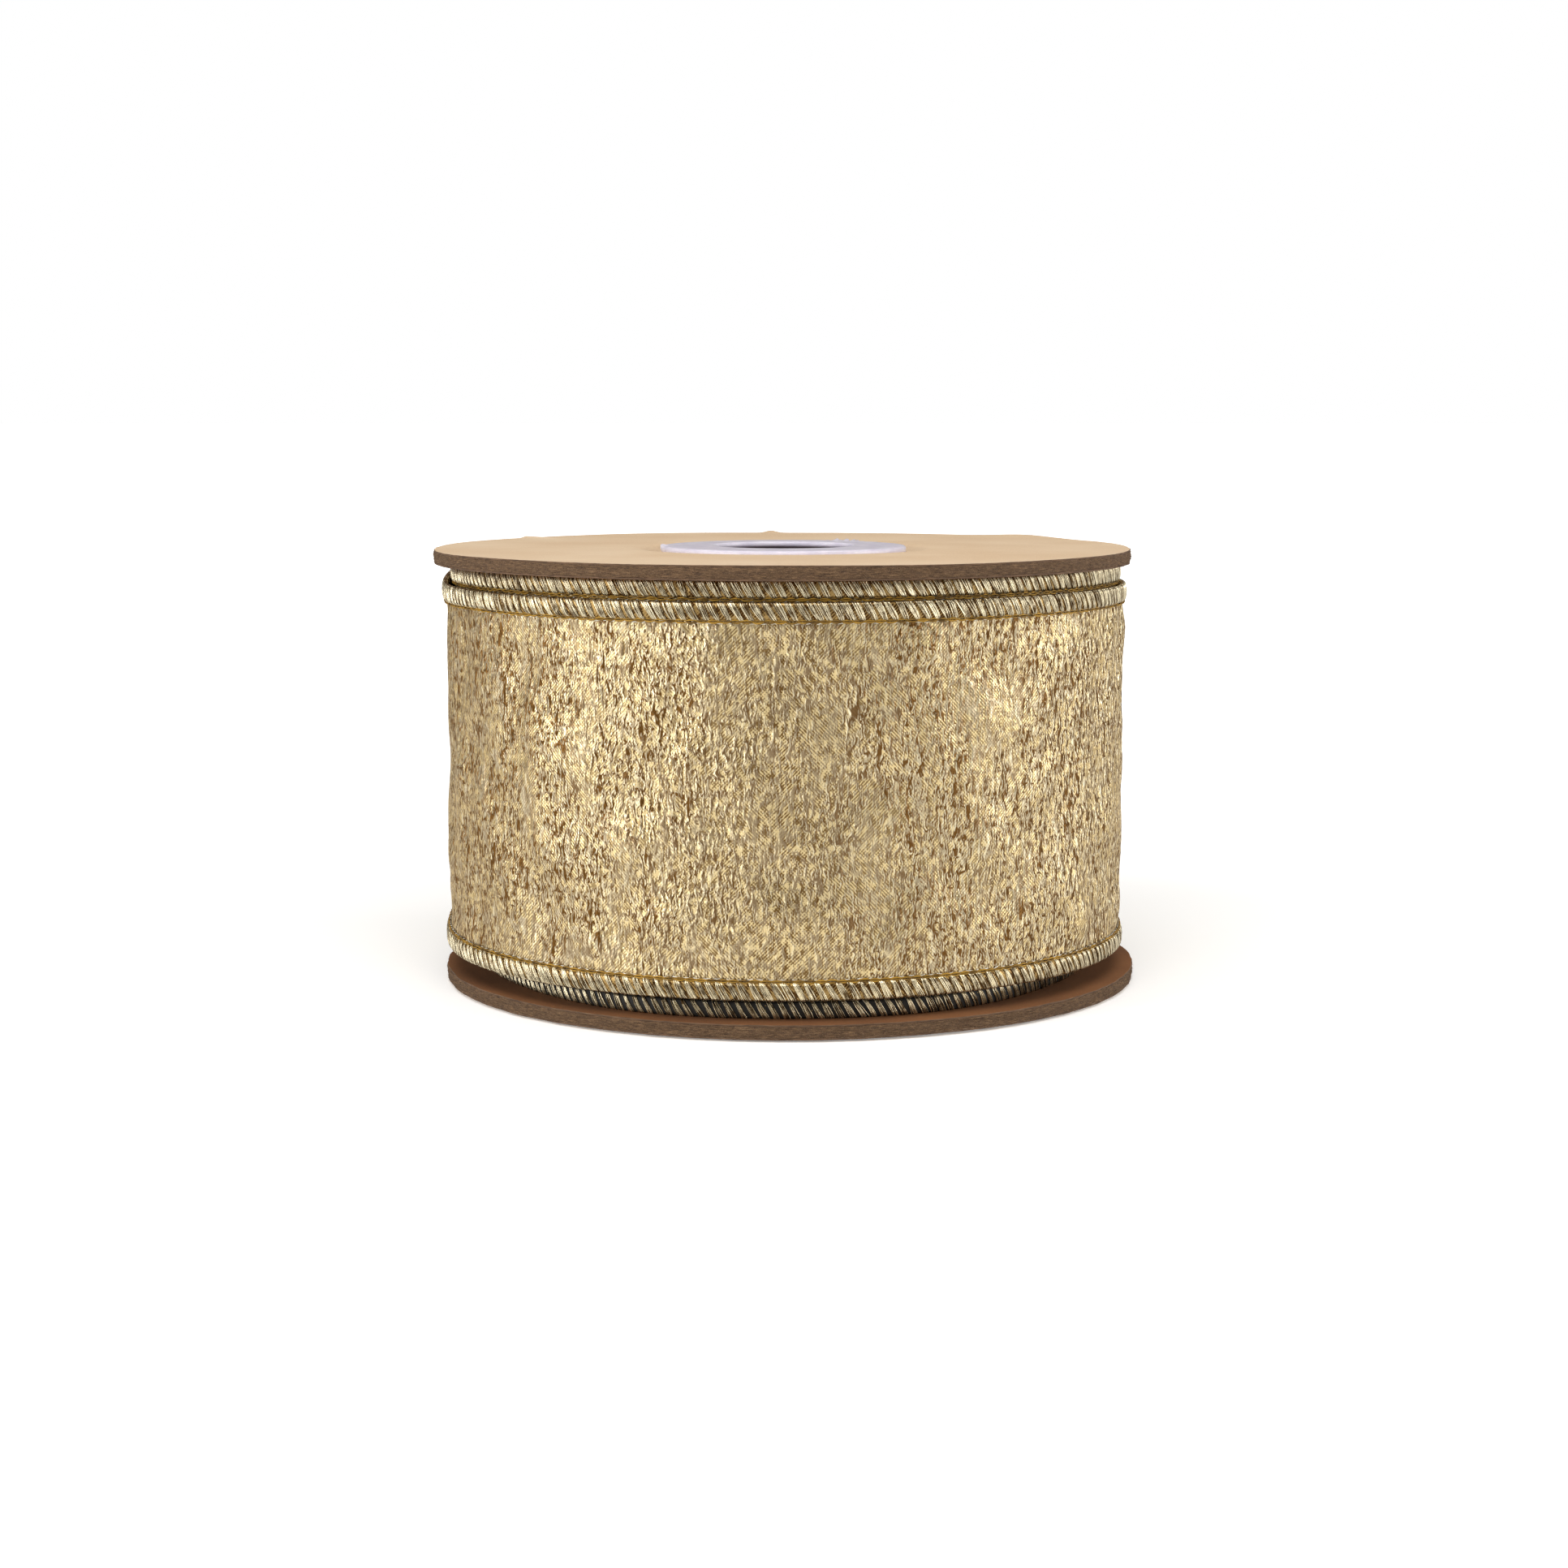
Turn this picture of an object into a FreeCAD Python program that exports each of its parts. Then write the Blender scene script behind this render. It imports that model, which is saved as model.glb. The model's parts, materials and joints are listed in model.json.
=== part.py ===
"""Ribbon spool: wired metallic ribbon wound on a paperboard core between two cardboard flanges.

Frame: millimetres, +Z up along the spool's axis, origin at the centre of the lower hub rim's
face, which the spool stands on. The ribbon winds outwards counterclockwise seen from above,
and its loose end, the tail, lies at the back (+Y).
"""
import FreeCAD, Part
import math
import os
import Sketcher
from FreeCAD import Vector

SIZES = {
    # flanges: chipboard with a kraft liner on each face, pressed in round the hub
    "flange_radius": 61.0,
    "flange_thick": 2.43,
    "liner_thick": 0.3,
    "flange_hole_radius": 14.2,
    "dish_depth": 1.0,
    "dish_inner_radius": 21.9,
    "dish_outer_radius": 27.0,
    # paperboard core tube
    "core_length": 68.6,
    "core_bore_radius": 14.2,
    "core_radius": 17.0,
    # two plastic hubs that plug together inside the core
    "hub_hole_radius": 12.5,
    "rim_radius": 21.5,
    "rim_thick": 1.4,
    "rim_chamfer": 0.25,
    "sleeve_bore_radius": 12.9,
    "sleeve_radius": 13.9,
    "socket_radius": 13.45,
    "groove_radius": 13.62,
    "plug_clearance": 0.06,
    "plug_half_lap": 5.0,
    "bead_half_width": 0.6,
    "rib_count": 6,
    "rib_width": 1.2,
    "rib_root": 0.5,
    "rib_radius": 14.12,
    "rib_length": 18.0,
    "rib_start": 5.5,
    # ribbon section
    "ribbon_width": 63.5,
    "ribbon_low": 6.5,
    "hem_height": 2.8,
    "hem_thick": 1.06,
    "hem_thread": 0.11,
    "fabric_thick": 0.2,
    "fabric_offset": 0.24,
    "fabric_inset": 0.3,
    "wire_diameter": 0.34,
    "wire_sides": 6,
    "wire_offset": 0.14,
    "wire_inset": 1.1,
    "chain_width": 0.34,
    "chain_thick": 0.3,
    "chain_offset": 0.09,
    "chain_gap": 0.07,
    # winding
    "winding_pitch": 1.11,
    "winding_turns": 38,
    "first_radius": 17.74,
    "first_angle": 110,
    # tail: the free end, which lifts off the pack
    "tail_angle": 68,
    "tail_length": 41,
    "tail_gap": 0.3,
    "tail_lift": 0.2,
    # adhesive tapes
    "start_tape_thick": 0.15,
    "start_tape_arc": 100,
    "start_tape_height": 19,
    "end_tape_thick": 0.08,
    "end_tape_height": 19,
    "end_tape_on_tail": 8,
    "end_tape_past_tip": 14,
    "end_tape_stand_off": 0.33,
}

TOTAL = "(2 * Sizes.rim_thick + 2 * Sizes.flange_thick + Sizes.core_length)"
MIDDLE = f"({TOTAL} / 2)"
AXIS = Vector(0, 0, 1)

doc = FreeCAD.newDocument("RibbonSpool")


def make_sheet():
    """The driving dimensions, one row each: name, value."""
    sheet = doc.addObject("Spreadsheet::Sheet", "Sizes")
    for row, (name, value) in enumerate(SIZES.items(), 1):
        sheet.set(f"A{row}", name)
        sheet.set(f"B{row}", str(value))
        sheet.setAlias(f"B{row}", name)
    doc.recompute()
    return sheet


sheet = make_sheet()


def size(name):
    """A driving dimension, read back from the sheet."""
    return float(getattr(sheet, name))


def worked_out(expression):
    """The number that an expression on the sheet comes to."""
    return float(sheet.evalExpression(expression))


def origin_feature(body, role):
    """A body's own origin plane or axis."""
    return next(f for f in body.Origin.OriginFeatures if f.Role == role)


def attached_sketch(body, name, plane):
    """An empty sketch on one of the body's origin planes."""
    sketch = body.newObject("Sketcher::SketchObject", name)
    sketch.AttachmentSupport = [(origin_feature(body, plane), "")]
    sketch.MapMode = "FlatFace"
    return sketch


def draw_outline(sketch, outline):
    """A closed outline of straight lines, each corner tied to a pair of expressions."""
    count = len(outline)
    corners = [Vector(worked_out(across), worked_out(up), 0) for across, up in outline]
    for i, corner in enumerate(corners):
        sketch.addGeometry(Part.LineSegment(corner, corners[(i + 1) % count]), False)
    for i in range(count):
        sketch.addConstraint(Sketcher.Constraint("Coincident", i, 2, (i + 1) % count, 1))
    for i, (corner, expressions) in enumerate(zip(corners, outline)):
        for kind, value, expression in zip(("DistanceX", "DistanceY"), corner, expressions):
            if expression == "0":
                index = sketch.addConstraint(Sketcher.Constraint("PointOnObject", i, 1, -1))
            else:
                index = sketch.addConstraint(Sketcher.Constraint(kind, -1, 1, i, 1, value))
                sketch.setExpression(f"Constraints[{index}]", expression)


def turned_body(label, outline):
    """A body turned about Z from an outline of (radius, height) expressions."""
    body = doc.addObject("PartDesign::Body", label)
    sketch = attached_sketch(body, f"{label}_profile", "XZ_Plane")
    draw_outline(sketch, outline)
    turn = body.newObject("PartDesign::Revolution", f"{label}_turn")
    turn.Profile = sketch
    turn.ReferenceAxis = (sketch, ["V_Axis"])
    turn.Angle = 360
    doc.recompute()
    return body


# ---------------------------------------------------------------- flanges and core

def flange_layer(label, low, high, upside_down):
    """One layer of a flange, from low to high above its outer face, pressed in at the hub."""

    def height(offset, pressed):
        z = f"Sizes.rim_thick + {offset}" + ("" if pressed else " - Sizes.dish_depth")
        return f"{TOTAL} - ({z})" if upside_down else z

    steps = [
        ("Sizes.flange_hole_radius", True),
        ("Sizes.dish_inner_radius", True),
        ("Sizes.dish_outer_radius", False),
        ("Sizes.flange_radius", False),
    ]
    outline = [(radius, height(low, pressed)) for radius, pressed in steps]
    outline += [(radius, height(high, pressed)) for radius, pressed in reversed(steps)]
    return turned_body(label, outline)


def make_flange(name, upside_down):
    """Chipboard between two liners."""
    liner = "Sizes.liner_thick"
    whole = "Sizes.flange_thick"
    inner_liner_starts = f"({whole} - {liner})"
    return [
        flange_layer(f"{name}_outer_liner", "0", liner, upside_down),
        flange_layer(f"{name}_board", liner, inner_liner_starts, upside_down),
        flange_layer(f"{name}_inner_liner", inner_liner_starts, whole, upside_down),
    ]


def make_core_tube():
    """A plain tube, its ends against the pressed-in middles of the flanges."""
    outside = doc.addObject("Part::Cylinder", "core_outside")
    bore = doc.addObject("Part::Cylinder", "core_bore")
    for cylinder, radius in ((outside, "core_radius"), (bore, "core_bore_radius")):
        cylinder.setExpression("Radius", f"Sizes.{radius}")
        cylinder.setExpression("Height", "Sizes.core_length")
        cylinder.setExpression("Placement.Base.z", "Sizes.rim_thick + Sizes.flange_thick")
    tube = doc.addObject("Part::Cut", "core_tube")
    tube.Base = outside
    tube.Tool = bore
    return tube


# ---------------------------------------------------------------- hubs

def socket_end():
    """The lower sleeve's open end: a socket with a groove for the bead."""
    return [
        ("Sizes.sleeve_radius", f"{MIDDLE} + Sizes.plug_half_lap"),
        ("Sizes.socket_radius", f"{MIDDLE} + Sizes.plug_half_lap"),
        ("Sizes.socket_radius", f"{MIDDLE} + Sizes.bead_half_width"),
        ("Sizes.groove_radius", MIDDLE),
        ("Sizes.socket_radius", f"{MIDDLE} - Sizes.bead_half_width"),
        ("Sizes.socket_radius", f"{MIDDLE} - Sizes.plug_half_lap - Sizes.plug_clearance"),
        ("Sizes.sleeve_bore_radius", f"{MIDDLE} - Sizes.plug_half_lap - Sizes.plug_clearance"),
    ]


def plug_end():
    """The upper sleeve's end: a thinner plug with a bead, which snaps into the socket."""
    plug = "(Sizes.socket_radius - Sizes.plug_clearance)"
    return [
        ("Sizes.sleeve_radius", f"{MIDDLE} + Sizes.plug_half_lap + Sizes.plug_clearance"),
        (plug, f"{MIDDLE} + Sizes.plug_half_lap + Sizes.plug_clearance"),
        (plug, f"{MIDDLE} + Sizes.bead_half_width"),
        ("Sizes.groove_radius - Sizes.plug_clearance", MIDDLE),
        (plug, f"{MIDDLE} - Sizes.bead_half_width"),
        (plug, f"{MIDDLE} - Sizes.plug_half_lap"),
        ("Sizes.sleeve_bore_radius", f"{MIDDLE} - Sizes.plug_half_lap"),
    ]


def add_ribs(body, start, upside_down):
    """Ribs along the sleeve from the given height, which centre it in the core tube."""
    sketch = attached_sketch(body, f"{body.Label}_rib_outline", "XY_Plane")
    sketch.setExpression("AttachmentOffset.Base.z", start)
    root = "Sizes.sleeve_radius - Sizes.rib_root"
    half = "Sizes.rib_width / 2"
    corners = [(root, f"-{half}"), ("Sizes.rib_radius", f"-{half}")]
    corners += [("Sizes.rib_radius", half), (root, half)]
    draw_outline(sketch, corners)
    pad = body.newObject("PartDesign::Pad", f"{body.Label}_rib")
    pad.Profile = sketch
    pad.Reversed = upside_down
    pad.setExpression("Length", "Sizes.rib_length")
    doc.recompute()
    ribs = body.newObject("PartDesign::PolarPattern", f"{body.Label}_ribs")
    ribs.Originals = [pad]
    ribs.Axis = (origin_feature(body, "Z_Axis"), [""])
    ribs.Angle = 360
    ribs.setExpression("Occurrences", "Sizes.rib_count")
    body.Tip = ribs
    doc.recompute()


def make_hub(label, end, upside_down):
    """A flat rim against the flange, and a ribbed sleeve that runs into the core tube."""

    def height(z):
        return f"{TOTAL} - {z}" if upside_down else z

    rim = "Sizes.rim_thick"
    edge = "Sizes.rim_chamfer"
    outline = [
        ("Sizes.hub_hole_radius", height("0")),
        (f"Sizes.rim_radius - {edge}", height("0")),
        ("Sizes.rim_radius", height(edge)),
        ("Sizes.rim_radius", height(rim)),
        ("Sizes.sleeve_radius", height(rim)),
        *end,
        ("Sizes.sleeve_bore_radius", height(rim)),
        ("Sizes.hub_hole_radius", height(rim)),
    ]
    body = turned_body(label, outline)
    add_ribs(body, height("Sizes.rib_start"), upside_down)
    return body


# ---------------------------------------------------------------- ribbon winding

def half_turns(first_turn, last_turn, first_angle, last_angle):
    """The winding as half circles about two centres, which join without a kink.

    Turns and angles count outwards; a half turn is (centre x, radius, start angle, sweep).
    """
    quarter = size("winding_pitch") / 4
    arcs = []
    for k in range(2 * first_turn, 2 * last_turn + 1):
        low = first_angle if k == 2 * first_turn else 180 * (k % 2)
        high = last_angle if k == 2 * last_turn else 180 * (k % 2) + 180
        centre = quarter if k % 2 else -quarter
        arcs.append((centre, size("first_radius") + 2 * quarter * k, low, high - low))
    return arcs


def section_face(points):
    return Part.Face(Part.makePolygon(points + points[:1]))


def rectangle(inner, outer, low, high):
    return section_face([Vector(r, 0, z) for r, z in
                         ((inner, low), (outer, low), (outer, high), (inner, high))])


def wound(arcs, section):
    """A section carried along the winding, as one closed solid.

    section(radius) gives its face in the XZ plane for a winding of that radius.
    """
    faces = []
    for i, (centre, radius, start, sweep) in enumerate(arcs):
        pivot = Vector(centre, 0, 0)
        profile = section(centre + radius)
        profile.rotate(pivot, AXIS, start)
        for face in profile.revolve(pivot, AXIS, sweep).Faces:
            middle = face.CenterOfMass - pivot
            upright = isinstance(face.Surface, Part.Plane) and abs(face.normalAt(0, 0).z) < 0.5
            turn = (math.degrees(math.atan2(middle.y, middle.x)) - start) % 360
            at_start = min(turn, 360 - turn) < sweep / 2
            inner_joint = i > 0 if at_start else i < len(arcs) - 1
            if not (upright and inner_joint):
                faces.append(face)
    skin = Part.makeCompound(faces)
    skin.sewShape()
    return Part.makeSolid(skin.Shells[0])


def edge_frame(upper):
    """A ribbon edge's height, and the direction from it towards the ribbon's middle."""
    low = size("ribbon_low")
    return (low + size("ribbon_width"), -1) if upper else (low, 1)


def fabric_section(r):
    """The cloth, a little inside both edges of the ribbon."""
    middle = r - size("fabric_offset")
    half = size("fabric_thick") / 2
    low = size("ribbon_low") + size("fabric_inset")
    high = size("ribbon_low") + size("ribbon_width") - size("fabric_inset")
    return rectangle(middle - half, middle + half, low, high)


def wire_section(upper):
    """The wire inside the hem, on the cloth's outer side; a few flats stand for its round."""
    edge, inward = edge_frame(upper)
    sides = int(size("wire_sides"))
    turns = [2 * math.pi * i / sides for i in range(sides)]

    def section(r):
        middle = Vector(r + size("wire_offset"), 0, edge + inward * size("wire_inset"))
        reach = size("wire_diameter") / 2
        return section_face([middle + Vector(reach * math.cos(a), 0, reach * math.sin(a))
                             for a in turns])

    return section


def overlock_section(upper):
    """The whip-stitched thread that wraps the edge: a channel round cloth and wire."""
    edge, inward = edge_frame(upper)
    open_end = edge + inward * size("hem_height")
    floor = edge + inward * size("hem_thread")

    def section(r):
        outer = size("hem_thick") / 2
        inner = outer - size("hem_thread")
        profile = [(-outer, open_end), (-outer, edge), (outer, edge), (outer, open_end)]
        profile += [(inner, open_end), (inner, floor), (-inner, floor), (-inner, open_end)]
        return section_face([Vector(r + x, 0, z) for x, z in profile])

    return section


def chain_section(upper):
    """The chain-stitch thread along the hem's open end, on the cloth's outer face."""
    edge, inward = edge_frame(upper)
    near = edge + inward * (size("hem_height") + size("chain_gap"))
    far = near + inward * size("chain_width")

    def section(r):
        middle = r + size("chain_offset")
        half = size("chain_thick") / 2
        return rectangle(middle - half, middle + half, min(near, far), max(near, far))

    return section


def make_ribbon(prefix, arcs):
    """The ribbon's separate pieces along one stretch of the winding."""
    pieces = {"fabric": fabric_section}
    for side, upper in (("upper", True), ("lower", False)):
        pieces[f"{side}_wire"] = wire_section(upper)
        pieces[f"{side}_overlock"] = overlock_section(upper)
        pieces[f"{side}_chain_stitch"] = chain_section(upper)
    made = []
    for name, section in pieces.items():
        piece = doc.addObject("Part::Feature", f"{prefix}_{name}")
        piece.Shape = wound(arcs, section)
        made.append(piece)
    return made


def last_radius():
    """The winding's radius on its last half turn, where the tail begins."""
    return size("first_radius") + size("winding_pitch") * size("winding_turns")


def angle_along(length):
    """The angle, in degrees, that a length spans on the last half turn."""
    return math.degrees(length / last_radius())


def pack_arcs():
    """From the core out to just before the tail."""
    end = size("tail_angle") - angle_along(size("tail_gap") / 2)
    return half_turns(0, int(size("winding_turns")), size("first_angle"), end)


def tail_arcs():
    """The free end, one arc that stands slightly off the turn below."""
    turns = int(size("winding_turns"))
    start = size("tail_angle") + angle_along(size("tail_gap") / 2)
    end = size("tail_angle") + angle_along(size("tail_length"))
    (centre, radius, start, sweep), = half_turns(turns, turns, start, end)
    return [(centre, radius + size("tail_lift"), start, sweep)]


# ---------------------------------------------------------------- tapes

def make_start_tape():
    """A patch of tape on the core under the ribbon's first turn."""
    piece = doc.addObject("Part::Feature", "core_start_tape")
    height = size("start_tape_height")
    low = worked_out(MIDDLE) - height / 2
    inner = size("core_radius")
    patch = rectangle(inner, inner + size("start_tape_thick"), low, low + height)
    patch.rotate(Vector(), AXIS, size("first_angle"))
    piece.Shape = patch.revolve(Vector(), AXIS, size("start_tape_arc"))
    return piece


def make_end_tape():
    """Clear tape over the tail's tip, stepping down onto the turn below."""
    (centre, tail_radius, start, sweep), = tail_arcs()
    pivot = Vector(centre, 0, 0)
    thick = size("end_tape_thick")
    height = size("end_tape_height")
    low = size("ribbon_low") + (size("ribbon_width") - height) / 2
    cloth_face = size("fabric_thick") / 2 - size("fabric_offset")
    on_tail = tail_radius + cloth_face + size("end_tape_stand_off") / 4
    turn_below = tail_radius - size("tail_lift") - size("winding_pitch")
    below = turn_below + cloth_face + size("end_tape_stand_off")
    tip = start + sweep

    def arc_band(inner, outer, first, last):
        band = rectangle(centre + inner, centre + outer, low, low + height)
        band.rotate(pivot, AXIS, first)
        return band.revolve(pivot, AXIS, last - first)

    step = angle_along(thick)
    clear = tip + angle_along(size("tail_gap") / 2)
    upper = arc_band(on_tail, on_tail + thick, tip - angle_along(size("end_tape_on_tail")), clear)
    riser = arc_band(below, on_tail + thick, clear, clear + step)
    lower = arc_band(below, below + thick, clear + step,
                     clear + angle_along(size("end_tape_past_tip")))
    piece = doc.addObject("Part::Feature", "end_tape")
    piece.Shape = upper.fuse([riser, lower]).removeSplitter()
    return piece


# ---------------------------------------------------------------- assembly and export

def check(pieces):
    """Stops if any object failed to compute or any piece isn't one or more sound solids."""
    for thing in doc.Objects:
        if {"Invalid", "Error"} & set(thing.State):
            raise RuntimeError(f"{thing.Label} did not compute: {thing.State}")
    for piece in pieces:
        shape = piece.Shape
        if shape.isNull() or not shape.isValid() or not shape.Solids:
            raise RuntimeError(f"{piece.Label} is not a sound solid")


def export(pieces):
    os.makedirs("parts", exist_ok=True)
    for piece in pieces:
        piece.Shape.exportStep(f"parts/{piece.Label}.step")


def main():
    pieces = make_flange("lower_flange", False) + make_flange("upper_flange", True)
    pieces.append(make_core_tube())
    pieces.append(make_hub("lower_hub", socket_end(), False))
    pieces.append(make_hub("upper_hub", plug_end(), True))
    pieces += make_ribbon("ribbon", pack_arcs())
    pieces += make_ribbon("tail", tail_arcs())
    pieces += [make_start_tape(), make_end_tape()]
    doc.recompute()
    check(pieces)
    export(pieces)
    length = sum(radius * math.radians(sweep) for _, radius, _, sweep in pack_arcs() + tail_arcs())
    print(f"{len(pieces)} pieces, ribbon length {length / 1000:.3f} m")
    for piece in pieces:
        box = piece.Shape.BoundBox
        print(f"{piece.Label:28s} {len(piece.Shape.Solids)} solid(s) {piece.Shape.Volume:10.1f} mm3"
              f"  x {box.XMin:7.2f}..{box.XMax:6.2f}  z {box.ZMin:6.2f}..{box.ZMax:6.2f}")


main()
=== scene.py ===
"""The looks of the ribbon spool, built round its CAD frame. Lengths are in millimetres until a
mesh is made. Angles are counterclockwise seen from above, with the front of the spool at -Y."""
import json
import math

import bpy
import numpy as np
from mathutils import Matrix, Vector


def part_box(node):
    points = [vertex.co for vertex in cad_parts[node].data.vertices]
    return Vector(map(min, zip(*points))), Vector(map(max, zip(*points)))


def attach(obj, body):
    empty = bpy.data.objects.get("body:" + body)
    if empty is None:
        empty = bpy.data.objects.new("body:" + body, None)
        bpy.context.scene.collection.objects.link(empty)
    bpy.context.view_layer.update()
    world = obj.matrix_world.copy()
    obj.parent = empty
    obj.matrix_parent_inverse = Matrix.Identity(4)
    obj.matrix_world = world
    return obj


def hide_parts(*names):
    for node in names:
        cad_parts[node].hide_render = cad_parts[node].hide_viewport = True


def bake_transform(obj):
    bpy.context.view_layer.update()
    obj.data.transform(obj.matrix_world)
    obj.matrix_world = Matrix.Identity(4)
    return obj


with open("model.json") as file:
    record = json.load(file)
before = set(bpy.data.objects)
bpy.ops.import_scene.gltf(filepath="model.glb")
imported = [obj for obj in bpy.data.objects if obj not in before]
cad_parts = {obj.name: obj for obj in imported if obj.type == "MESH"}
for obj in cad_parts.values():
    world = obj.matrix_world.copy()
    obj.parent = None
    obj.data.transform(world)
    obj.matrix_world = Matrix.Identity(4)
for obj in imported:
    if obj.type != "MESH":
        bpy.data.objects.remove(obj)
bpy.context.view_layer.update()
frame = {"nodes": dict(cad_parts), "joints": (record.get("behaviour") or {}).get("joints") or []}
MM = 0.001
TAU = 2 * math.pi


def node_box(node):
    """A CAD node's lowest and highest corners, in millimetres."""
    low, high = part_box(node)
    return np.array(low) / MM, np.array(high) / MM


# ---------------------------------------------------------------- sizes
TOTAL_HEIGHT = node_box("upper_hub")[1][2]
RIM_RADIUS = node_box("upper_hub")[1][0]
BOARD_RADIUS = max(node_box("upper_flange_board")[1][:2])
HOLE_RADIUS = 14.2         # the flange's hole, round the hub's sleeve
SLEEVE_RADIUS = 13.9
FLANGE_THICKNESS = 2.43
FLANGE_INSET = 0.4         # the hub's rim stands this far past the flange's outer face
LINER = 0.3
DISH_DEPTH = 1.0           # the flange is pressed in round its hole, for the hub's rim
DISH_START, DISH_END = 21.9, 27.0
OVERSIZE = 0.02            # the flange's layers are this much wider than in the CAD

HEM_HEIGHT = 2.8
HEM_HALF = 0.42            # half the hem's thickness under its stitches
HEM_STITCHED_HALF = 0.53   # and over them, as the CAD has it
PITCH = 1.11               # from one turn of ribbon to the next
TURNS = 38                 # whole turns, to where the winding last crosses +X
FIRST_TURN = 0.31          # the winding's start on the core, in turns
RIBBON_LOW = node_box("ribbon_lower_overlock")[0][2]
RIBBON_HIGH = node_box("ribbon_upper_overlock")[1][2]
RADIUS_AT_ZERO = node_box("ribbon_upper_overlock")[1][0] - HEM_STITCHED_HALF - PITCH * TURNS
CORE_RADIUS = node_box("core_tube")[1][0]
HINGE = np.array(frame["joints"][0]["pos_m"]) / MM
HINGE_TURN = TURNS + math.atan2(HINGE[1], HINGE[0]) / TAU
OUTER_LENGTH = TAU * (RADIUS_AT_ZERO + PITCH * TURNS)   # once round the winding's outside
TAIL_LENGTH = 41.0
TAIL_TURNS = TAIL_LENGTH / OUTER_LENGTH
TAIL_START = HINGE_TURN - 0.012   # the tail piece begins a little inside the pack and bends
TAIL_END = HINGE_TURN + TAIL_TURNS
TAIL_LIFT = 0.2            # the tail stands this far off the turn below
STITCH_PITCH = 1.75
FABRIC_OUT = -0.24         # the cloth's middle, from the hem's middle
FABRIC_INSET = 0.5         # the cloth's edge, from the ribbon's
CLOTH_LOW, CLOTH_HIGH = RIBBON_LOW + FABRIC_INSET, RIBBON_HIGH - FABRIC_INSET
WIRE_INSET = 1.1
WIRE_OUT = 0.14
WIRE_RADIUS = 0.17
TWILL_PITCH = 0.60
CRINKLE_IN_FRONT = 0.55    # how strong the cloth's folds are at the front and the back
CRINKLE_AT_SIDES = 0.57    # and how much stronger at the sides, where the slack gathers

SPOOL = "spool"
TAIL = "ribbon_tail"


# ---------------------------------------------------------------- mesh tools
def smooth(x, low, high):
    """0 below low, 1 above high, and a smooth step between."""
    t = np.clip((np.asarray(x, float) - low) / (high - low), 0, 1)
    return t * t * (3 - 2 * t)


def unit(vectors):
    return vectors / np.maximum(np.linalg.norm(vectors, axis=-1, keepdims=True), 1e-9)


def stacked(*coordinates):
    """Points, or other triples, from their three coordinates."""
    return np.stack(np.broadcast_arrays(*coordinates), axis=-1)


def rounded(wave, power):
    """A wave between -1 and 1 with fuller shoulders, the lower its power."""
    return np.sign(wave) * np.abs(wave) ** power


def mesh_piece(name, points, face_groups, material, attributes=()):
    """A piece from points in millimetres and arrays of faces, each array of one corner count."""
    points = np.asarray(points, float).reshape(-1, 3)
    mesh = bpy.data.meshes.new(name)
    corners = np.concatenate([f.ravel() for f in face_groups])
    counts = np.concatenate([np.full(len(f), f.shape[1]) for f in face_groups])
    mesh.vertices.add(len(points))
    mesh.vertices.foreach_set("co", (points * MM).ravel())
    mesh.loops.add(len(corners))
    mesh.loops.foreach_set("vertex_index", corners.astype(np.int32))
    mesh.polygons.add(len(counts))
    mesh.polygons.foreach_set("loop_start", (np.cumsum(counts) - counts).astype(np.int32))
    mesh.polygons.foreach_set("use_smooth", np.ones(len(counts), bool))
    mesh.update(calc_edges=True)
    mesh.validate()
    for key, values in attributes:
        layer = mesh.attributes.new(key, "FLOAT_VECTOR", "POINT")
        layer.data.foreach_set("vector", np.asarray(values, np.float32).ravel())
    mesh.materials.append(material)
    piece = bpy.data.objects.new(name, mesh)
    bpy.context.scene.collection.objects.link(piece)
    return piece


def grid_faces(rows, columns, close_rows=False, close_columns=False, first=0):
    """The quads of a grid of points that are numbered row by row."""
    i = np.arange(rows if close_rows else rows - 1)[:, None]
    j = np.arange(columns if close_columns else columns - 1)[None, :]
    i_next, j_next = (i + 1) % rows, (j + 1) % columns
    quads = np.stack([i * columns + j, i_next * columns + j,
                      i_next * columns + j_next, i * columns + j_next], axis=-1)
    return quads.reshape(-1, 4) + first


def tubes(paths, radii, across, sides=5):
    """Closed tubes along paths (n, points, 3); across is a direction never along a path."""
    count, steps = paths.shape[:2]
    along = unit(np.gradient(paths, axis=1))
    side = unit(np.cross(along, across))
    up = np.cross(side, along)
    turn = TAU * np.arange(sides) / sides
    ring = (np.cos(turn)[:, None] * side[:, :, None] + np.sin(turn)[:, None] * up[:, :, None])
    points = paths[:, :, None] + ring * np.broadcast_to(radii, (count, steps))[..., None, None]
    tube = grid_faces(steps, sides, close_columns=True)
    firsts = (np.arange(count) * steps * sides)[:, None, None]
    walls = (tube[None] + firsts).reshape(-1, 4)[:, ::-1]
    cap = np.arange(sides)
    ends = np.stack([cap, cap[::-1] + (steps - 1) * sides])
    caps = (ends[None] + firsts).reshape(-1, sides)
    return points.reshape(-1, 3), [walls, caps]


def join(parts):
    """Several (points, faces) as one."""
    points, groups, first = [], {}, 0
    for part_points, faces in parts:
        points.append(part_points)
        for f in faces:
            groups.setdefault(f.shape[1], []).append(f + first)
        first += len(part_points)
    return np.concatenate(points), [np.concatenate(g) for g in groups.values()]


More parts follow.
